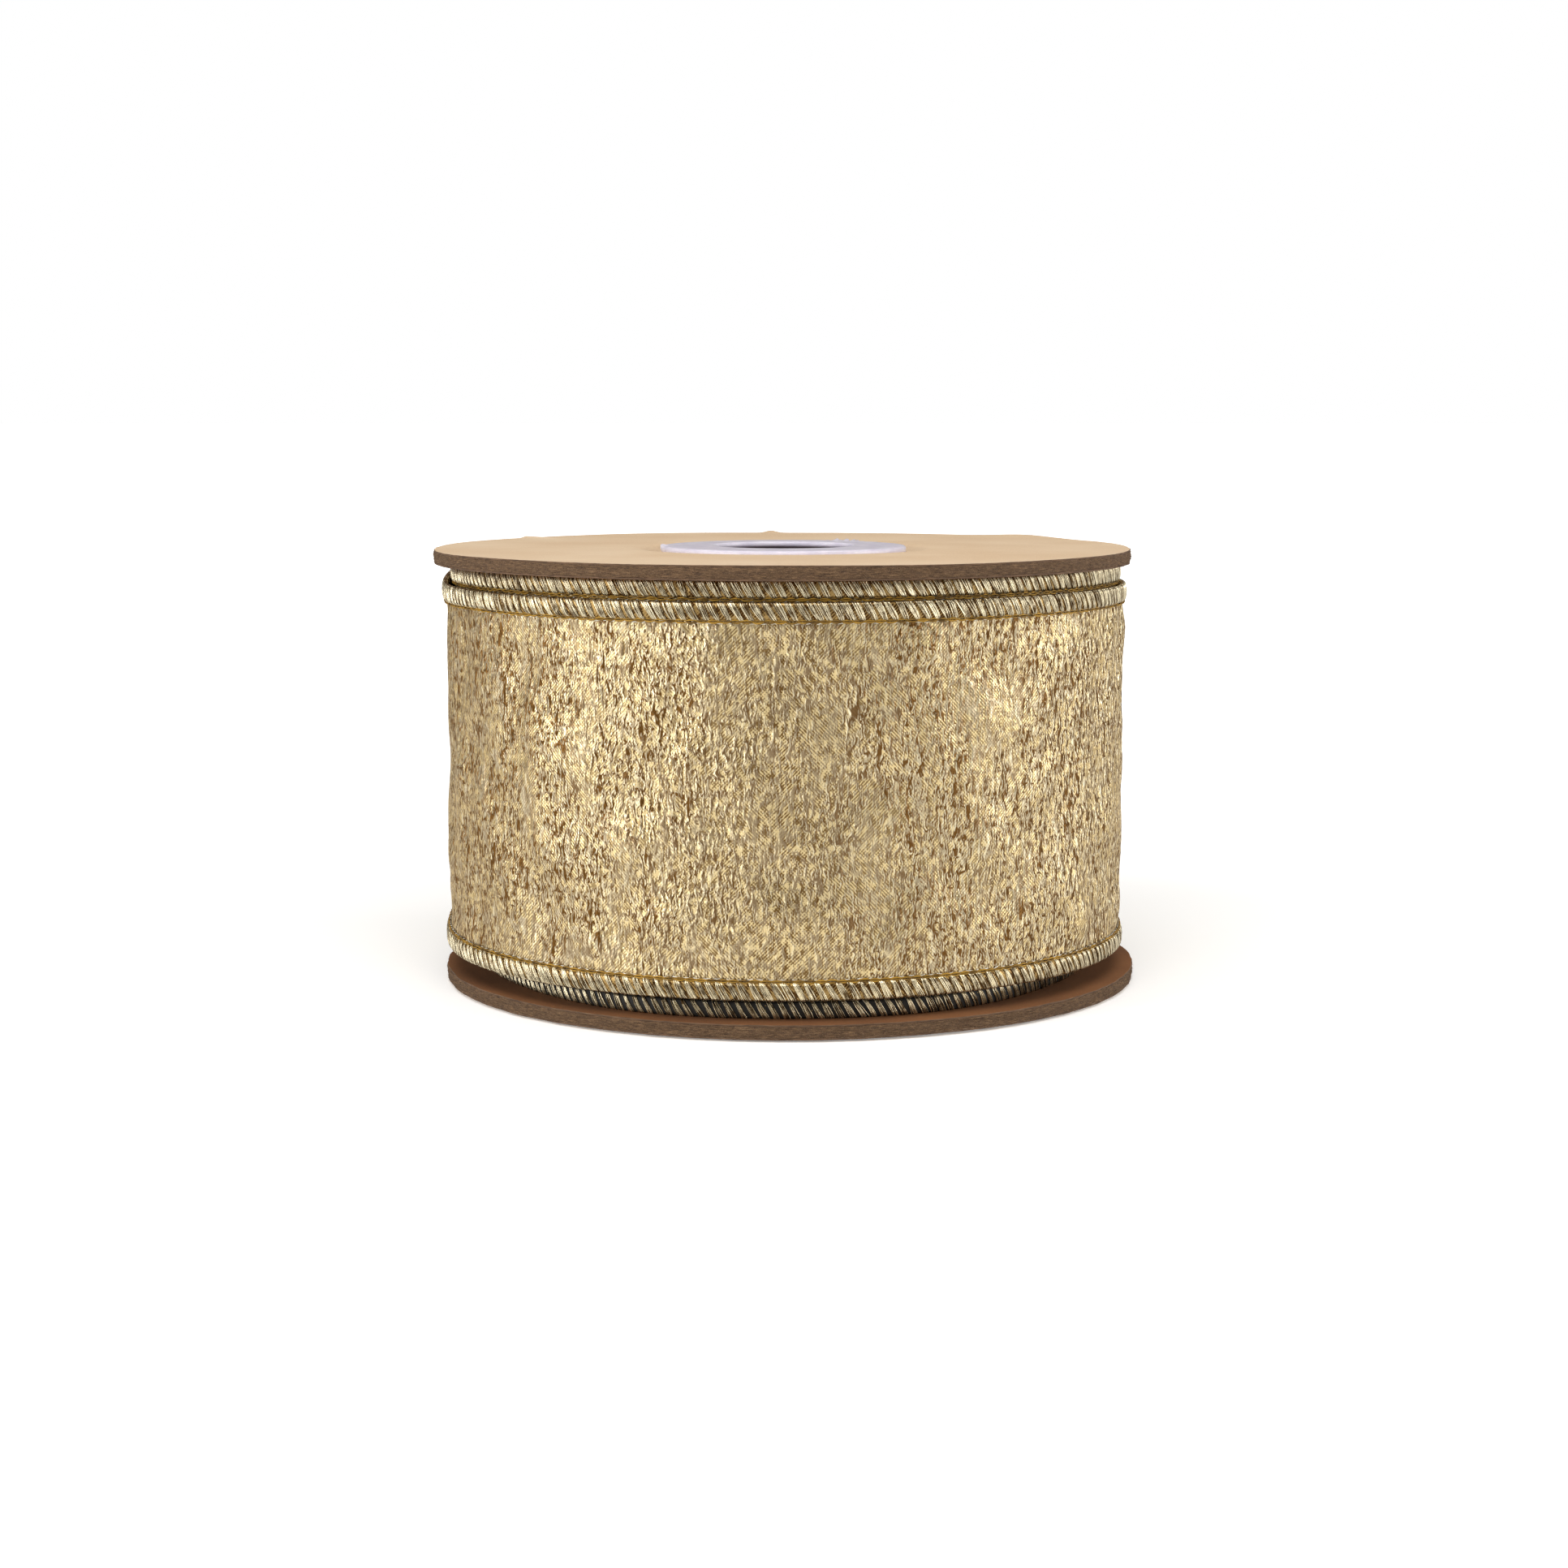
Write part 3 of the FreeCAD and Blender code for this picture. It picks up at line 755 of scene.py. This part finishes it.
def cloth_relief(turn, height, spacing, seed):
    """The cloth's outward offset: slack waves and fine ridges, which fade at hems and seam."""
    shape = (turn.size, height.size)
    from_hem = np.minimum(height - RIBBON_LOW, RIBBON_HIGH - height) - HEM_HEIGHT
    from_seam = np.abs(turn - TAIL_START) * OUTER_LENGTH
    waves = soft_noise(shape, spacing, (8.0, 10.0), seed)
    bands = soft_noise(shape, spacing, (2.2, 14.0), seed + 1)
    small = soft_noise(shape, spacing, (0.16, 0.6), seed + 2)
    tall = soft_noise(shape, spacing, (0.25, 1.5), seed + 3)
    waves = waves * smooth(from_hem, -0.2, 5.0) * smooth(from_seam, 0.0, 9.0)
    ridges = (0.03 * small + 0.04 * np.tanh(1.2 * tall)) * (0.6 + 0.4 * np.tanh(bands))
    ridges = ridges * smooth(from_hem, -0.6, 0.5) * smooth(from_seam, 0.0, 1.2)
    depth = 0.22 + 0.10 * np.cos(TAU * turn) ** 2
    return FABRIC_OUT + depth * waves + ridges


def ribbon_cloth(name, first, last, step_along, step_up, seed=None):
    """A stretch of the cloth; a seed gives it relief."""
    length = ribbon_length(first, last)
    columns = round(length / step_along) + 1
    rows = round((CLOTH_HIGH - CLOTH_LOW) / step_up) + 1
    turn = np.linspace(first, last, columns)[:, None]
    height = np.linspace(CLOTH_LOW, CLOTH_HIGH, rows)[None, :]
    out = FABRIC_OUT
    if seed is not None:
        spacing = (length / columns, (CLOTH_HIGH - CLOTH_LOW) / rows)
        out = cloth_relief(turn, height, spacing, seed)
    cloth = stacked(distance_along(turn, first, last), height, 0.0)
    sides = np.abs(np.cos(TAU * turn)) ** 0.7
    crinkle = (CRINKLE_IN_FRONT + CRINKLE_AT_SIDES * sides)[..., None]
    piece = mesh_piece(name, on_ribbon(turn, out, height), [grid_faces(columns, rows)], LAME,
                       [("cloth", cloth), ("crinkle", np.broadcast_to(crinkle, cloth.shape))])
    return piece


def hem_section(upper, points):
    """The hem's rounded section: (outward offset, height on the ribbon)."""
    t = TAU * np.arange(points) / points
    out = HEM_HALF * rounded(np.cos(t), 0.7)
    up = HEM_HEIGHT / 2 * rounded(np.sin(t), 0.85)
    return out, up + from_edge(upper, HEM_HEIGHT / 2)


def swept(section, first, last, step):
    """A closed section carried along the winding, with flat ends, and its places on the cloth."""
    out, height = section
    count = round(ribbon_length(first, last) / step) + 1
    turn = np.linspace(first, last, count)[:, None]
    points = on_ribbon(turn, out[None, :], height[None, :])
    sides = len(out)
    cap = np.arange(sides)
    caps = np.stack([cap[::-1], cap + (count - 1) * sides])
    cloth = stacked(distance_along(turn, first, last), height[None, :], out[None, :])
    walls = grid_faces(count, sides, close_columns=True)
    return points.reshape(-1, 3), [walls, caps], cloth.reshape(-1, 3)


def stitch_row(first, last, phase):
    """The turn of each stitch, phase of a stitch from its start, and the turns in a millimetre."""
    length = ribbon_length(first, last)
    count = int(length / STITCH_PITCH)
    starts = np.linspace(first, last, count, endpoint=False)
    return starts + phase * (last - first) / count, (last - first) / length


def whip_stitches(first, last, upper, seed, filaments=7):
    """Bundles of filaments that wrap the edge on a slant, one bundle a stitch."""
    rng = np.random.default_rng(seed)
    stitches, turns_per_mm = stitch_row(first, last, 0.5)
    count = len(stitches)
    total = count * filaments
    centre = np.repeat(stitches + rng.normal(0, 0.05, count) * turns_per_mm, filaments)
    width = np.repeat(rng.uniform(0.165, 0.205, count), filaments)
    number = np.tile(np.arange(filaments), count)
    spread = (number - (filaments - 1) / 2) * width + rng.normal(0, 0.04, total)
    slant = 1.5 + np.repeat(rng.normal(0, 0.16, count), filaments) + rng.normal(0, 0.10, total)
    gather = rng.normal(0, 0.06, total)

    # round the hem: from the chain stitch up the outer face, over the edge, down the inner face
    t = np.linspace(-0.5, 1.35, 13)[None, :] * math.pi
    up = (HEM_HEIGHT / 2 + 0.06) * rounded(np.sin(t), 0.8)
    share = up / HEM_HEIGHT            # about -0.5 at the chain stitch and 0.5 at the edge
    on_front = np.cos(t) > -0.2
    pinch = 1 - 0.35 * np.clip(-share * 2, 0, 1)
    towards_edge = 1 if upper else -1
    lean = towards_edge * slant[:, None]
    lift = HEM_HALF + 0.085 + rng.uniform(-0.02, 0.035, (total, 1))
    wave = rng.uniform(0, TAU, (2, total, 1))
    shift = spread[:, None] * pinch + gather[:, None] - lean * share * on_front
    shift = shift - lean * 0.5 * ~on_front + 0.045 * np.sin(2.2 * t + wave[0])
    lift = lift + 0.025 * np.sin(3.0 * t + wave[1])
    turn = centre[:, None] + shift * turns_per_mm
    height = from_edge(upper, HEM_HEIGHT / 2) + towards_edge * up
    paths = on_ribbon(turn, lift * rounded(np.cos(t), 0.6), height)
    radii = rng.uniform(0.075, 0.105, (total, 1)) * np.ones((1, t.shape[1]))
    radii[:, 0] *= 0.6
    return tubes(paths, radii, along_ribbon(turn[:, :1]), 5)


def chain_stitches(first, last, upper, seed):
    """The ochre chain: a loop of two strands a stitch, each tucked under the next."""
    rng = np.random.default_rng(seed)
    centre, turns_per_mm = stitch_row(first, last, 0.5)
    s = np.linspace(-0.5, 0.5, 9)[None, :]
    belly = np.cos(math.pi * s) ** 0.7
    turn = centre[:, None] + s * STITCH_PITCH * 1.04 * turns_per_mm
    parts = []
    for strand in (-1, 1):
        sway = rng.normal(0, 0.03, (len(centre), 1))
        height = from_edge(upper, HEM_HEIGHT + 0.22) + strand * (0.06 + 0.15 * belly) + sway
        paths = on_ribbon(turn, 0.05 + 0.14 * belly, height)
        parts.append(tubes(paths, 0.10 + 0.06 * belly, outwards(turn[:, :1]), 6))
    return join(parts)


def pale_dashes(first, last, upper, seed):
    """Short pale stitches on the cloth side of the chain."""
    rng = np.random.default_rng(seed)
    centre, turns_per_mm = stitch_row(first, last, 0.0)
    count = len(centre)
    centre = centre + rng.normal(0, 0.12, count) * turns_per_mm
    length = rng.uniform(0.7, 1.3, (count, 1))
    tilt = rng.normal(0.03, 0.05, (count, 1))
    s = np.linspace(-0.5, 0.5, 6)[None, :]
    height = from_edge(upper, HEM_HEIGHT + 0.50) + tilt * s * 2 + rng.normal(0, 0.03, (count, 1))
    turn = centre[:, None] + s * length * turns_per_mm
    paths = on_ribbon(turn, -0.10 + 0.12 * np.cos(math.pi * s), height)
    return tubes(paths, 0.075, outwards(turn[:, :1]), 5)


OUTER_FROM = 37.05          # the outer turn of cloth, with its relief
HEM_SHOWN_FROM = 36.3       # the hems are finer from here
UPPER_STITCHED_FROM = 36.40     # the turn that is pushed up shows its upper stitches
LOWER_STITCHED_FROM = 37.1
LOW_BAND = (34.14, 35.32)   # the turn whose lower hem shows below the outer one


def hold(piece, body):
    """Pieces of the pack ride the spool; pieces of the tail stay where they are, with their place
    baked into their meshes.
    """
    if body == SPOOL:
        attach(piece, SPOOL)
    else:
        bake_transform(piece)


for name, first, last, steps, seed, node, body in (
        ("ribbon_inner_turns", FIRST_TURN, OUTER_FROM, (4.2, 3.6), None, "ribbon_fabric", SPOOL),
        ("ribbon_outer_turn", OUTER_FROM, TAIL_START, (0.16, 0.8), 5, "ribbon_fabric", SPOOL),
        ("tail_cloth", TAIL_START, TAIL_END, (0.16, 0.8), 9, "tail_fabric", TAIL)):
    piece = ribbon_cloth(name, first, last, *steps, seed)
    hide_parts(node)
    hold(piece, body)


def make_hems(side, upper):
    """The hems under the stitches: plainer inside the pack, finer where they show."""
    hidden = swept(hem_section(upper, 12), FIRST_TURN, HEM_SHOWN_FROM, 5.0)
    shown = swept(hem_section(upper, 18), HEM_SHOWN_FROM, TAIL_START, 0.9)
    in_pack = (*join([hidden[:2], shown[:2]]), np.concatenate([hidden[2], shown[2]]))
    in_tail = swept(hem_section(upper, 18), TAIL_START, TAIL_END, 0.9)
    for label, node_prefix, body, (points, faces, cloth) in (("", "ribbon_", SPOOL, in_pack),
                                                             ("tail_", "tail_", TAIL, in_tail)):
        piece = mesh_piece(f"{label}{side}_hem", points, faces, SHADED_HEM_LAME, [("cloth", cloth)])
        hold(piece, body)
        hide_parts(f"{node_prefix}{side}_overlock")


def make_wires(side, upper):
    """The steel wires inside the hems."""
    for prefix, first, last, body in (("ribbon", FIRST_TURN, TAIL_START, SPOOL),
                                      ("tail", TAIL_START, TAIL_END, TAIL)):
        turn = np.linspace(first, last, round(ribbon_length(first, last) / 3.0) + 1)[None, :]
        paths = on_ribbon(turn, WIRE_OUT, from_edge(upper, WIRE_INSET))
        points, faces = tubes(paths, WIRE_RADIUS, outwards(turn), 6)
        piece = mesh_piece(f"{prefix}_{side}_hem_wire", points, faces, STEEL)
        hold(piece, body)
        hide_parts(f"{prefix}_{side}_wire")


def make_stitches(side, upper):
    """The stitches on the turns that show, and on the tail."""
    stitched_from = UPPER_STITCHED_FROM if upper else LOWER_STITCHED_FROM
    makers = (
        ("whip_stitches", whip_stitches, LUREX, "overlock_thread", "overlock"),
        ("chain_stitches", chain_stitches, OCHRE, "chain_thread", "chain_stitch"),
        ("pale_stitches", pale_dashes, PALE, "overlock_thread", "chain_stitch"),
    )
    for label, maker, material, slot, node in makers:
        for prefix, first, last, body in (("ribbon", stitched_from, TAIL_START, SPOOL),
                                          ("tail", TAIL_START, TAIL_END, TAIL)):
            points, faces = maker(first, last, upper, 40 + upper)
            piece = mesh_piece(f"{prefix}_{side}_{label}", points, faces, material)
            hold(piece, body)
            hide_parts(f"{prefix}_{side}_{node}")


for side, upper in (("upper", True), ("lower", False)):
    make_hems(side, upper)
    make_wires(side, upper)
    make_stitches(side, upper)

# the low turn: stitches over a near-black hem, painted shade for the gap under the outer turn
points, faces = swept(hem_section(False, 16), *LOW_BAND, 1.2)[:2]
low_band = mesh_piece("low_turn_painted_shade", points, faces, PAINTED_SHADE_CLOTH)
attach(low_band, SPOOL)
points, faces = whip_stitches(*LOW_BAND, False, 71, 6)
low_stitches = mesh_piece("low_turn_whip_stitches", points, faces, LUREX)
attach(low_stitches, SPOOL)


# ---------------------------------------------------------------- tapes and core
def make_end_tape():
    """Clear tape over the tail's tip, easing down onto the turn below."""
    low, high = node_box("end_tape")
    on_tail, past_tip, step_down = 8.0, 14.0, 1.0
    clear_of_cloth, thickness = 0.18, 0.07
    tail_radius = turn_radius(np.array(TAIL_END))
    turns_per_mm = 1 / (TAU * tail_radius)
    distance = np.linspace(-on_tail, past_tip, 45)
    radius = tail_radius + clear_of_cloth - step_down * smooth(distance, 0.0, 3.2)
    angle = TAU * (TAIL_END + distance * turns_per_mm)[:, None]
    height = np.linspace(low[2], high[2], 15)
    layers = []
    for out in (0.0, thickness):
        r = (radius + out)[:, None]
        layer = stacked(r * np.cos(angle), r * np.sin(angle), height[None, :])
        layers.append(layer.reshape(-1, 3))
    columns, rows = len(distance), len(height)
    inside = grid_faces(columns, rows)[:, ::-1]
    outside = grid_faces(columns, rows, first=columns * rows)
    index = np.arange(columns * rows).reshape(columns, rows)
    edge = np.concatenate([index[:, 0], index[-1, 1:], index[-2::-1, -1], index[0, -2:0:-1]])
    ahead = np.roll(edge, -1)
    rim = np.stack([edge, ahead, ahead + columns * rows, edge + columns * rows], axis=-1)
    piece = mesh_piece("end_tape_film", np.concatenate(layers), [inside, outside, rim], TAPE)
    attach(piece, TAIL)
    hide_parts("end_tape")


make_end_tape()

for node, material in (("core_tube", CORE_PAPER), ("core_start_tape", STARTER_PAPER)):
    frame["nodes"][node].data.materials.clear()
    frame["nodes"][node].data.materials.append(material)


# ---------------------------------------------------------------- stage, lights and camera
def area_light(name, place, target, size, power):
    """A softbox: place, target and size (width, height) in millimetres."""
    data = bpy.data.lights.new(name, "AREA")
    data.shape = "RECTANGLE"
    data.size, data.size_y = size[0] * MM, size[1] * MM
    data.energy = power
    light = bpy.data.objects.new(name, data)
    light.location = Vector(place) * MM
    light.rotation_euler = (Vector(target) - Vector(place)).to_track_quat("-Z", "Y").to_euler()
    bpy.context.scene.collection.objects.link(light)


def sun_light(name, direction, strength, spread):
    """Even light from far away; spread is its disc's width in degrees."""
    data = bpy.data.lights.new(name, "SUN")
    data.energy = strength
    data.angle = math.radians(spread)
    light = bpy.data.objects.new(name, data)
    light.rotation_euler = Vector(direction).to_track_quat("-Z", "Y").to_euler()
    bpy.context.scene.collection.objects.link(light)


MIDDLE = (0, 0, 38)
area_light("left_softbox", (-630, -310, 230), MIDDLE, (420, 460), 2.85)
area_light("right_softbox", (700, -50, 230), MIDDLE, (420, 460), 2.6)
area_light("front_softbox", (0, -460, 540), MIDDLE, (520, 300), 2.0)
sun_light("overhead", (0.05, 0.10, -1.0), 1.0, 60)

# the world lights the spool with a dim warm grey, and the camera sees it as white
world = bpy.data.worlds.new("studio")
world.use_nodes = True
nodes, links = world.node_tree.nodes, world.node_tree.links
background = nodes["Background"]
background.inputs["Color"].default_value = (0.22, 0.203, 0.175, 1)
white = nodes.new("ShaderNodeBackground")
white.inputs["Color"].default_value = (1, 1, 1, 1)
chooser = nodes.new("ShaderNodeMixShader")
rays = nodes.new("ShaderNodeLightPath")
links.new(rays.outputs["Is Camera Ray"], chooser.inputs["Fac"])
links.new(background.outputs[0], chooser.inputs[1])
links.new(white.outputs[0], chooser.inputs[2])
links.new(chooser.outputs[0], nodes["World Output"].inputs["Surface"])
bpy.context.scene.world = world
bpy.context.scene.view_settings.view_transform = "Standard"


def floor_look():
    """A pale floor. Its glow, for the camera only, grows away from the spool to meet the white."""
    look = Look("pale_floor", Roughness=0.7, Emission_Color=(1, 1, 1, 1))
    where = look.place()
    glow = look.node("MapRange", {"Value": look.length(where), "From Min": 120.0,
                                  "From Max": 500.0, "To Min": 0.25, "To Max": 1.0})
    seen = look.node("LightPath").outputs["Is Camera Ray"]
    look.plug(look.shader.inputs["Emission Strength"], look.times(glow.outputs["Result"], seen))
    cloud = look.noise(where, (0.004, 0.004, 0.004), 2.0)
    look.colour(look.ramp(cloud, (0.3, (0.90, 0.90, 0.90)), (0.7, (0.93, 0.93, 0.93))))
    return look.material


FLOOR_REACH = 15000.0
corners = [(x * FLOOR_REACH, y * FLOOR_REACH, 0) for x, y in ((-1, -1), (1, -1), (1, 1), (-1, 1))]
floor = mesh_piece("floor", corners, [np.array([[0, 1, 2, 3]])], floor_look())

# the camera, fitted to the photo's
TARGET = Vector((0, 0, 33.7))
CAMERA_DISTANCE = 524.87
CAMERA_ELEVATION = math.radians(7.345)
camera_data = bpy.data.cameras.new("camera")
camera_data.sensor_width = 36.0
camera_data.lens = 67.57
camera_data.clip_start = 0.01
camera_data.clip_end = 60.0
camera = bpy.data.objects.new("camera", camera_data)
offset = Vector((0, -math.cos(CAMERA_ELEVATION), math.sin(CAMERA_ELEVATION))) * CAMERA_DISTANCE
camera.location = (TARGET + offset) * MM
camera.rotation_euler = (-offset).to_track_quat("-Z", "Y").to_euler()
bpy.context.scene.collection.objects.link(camera)
bpy.context.scene.camera = camera
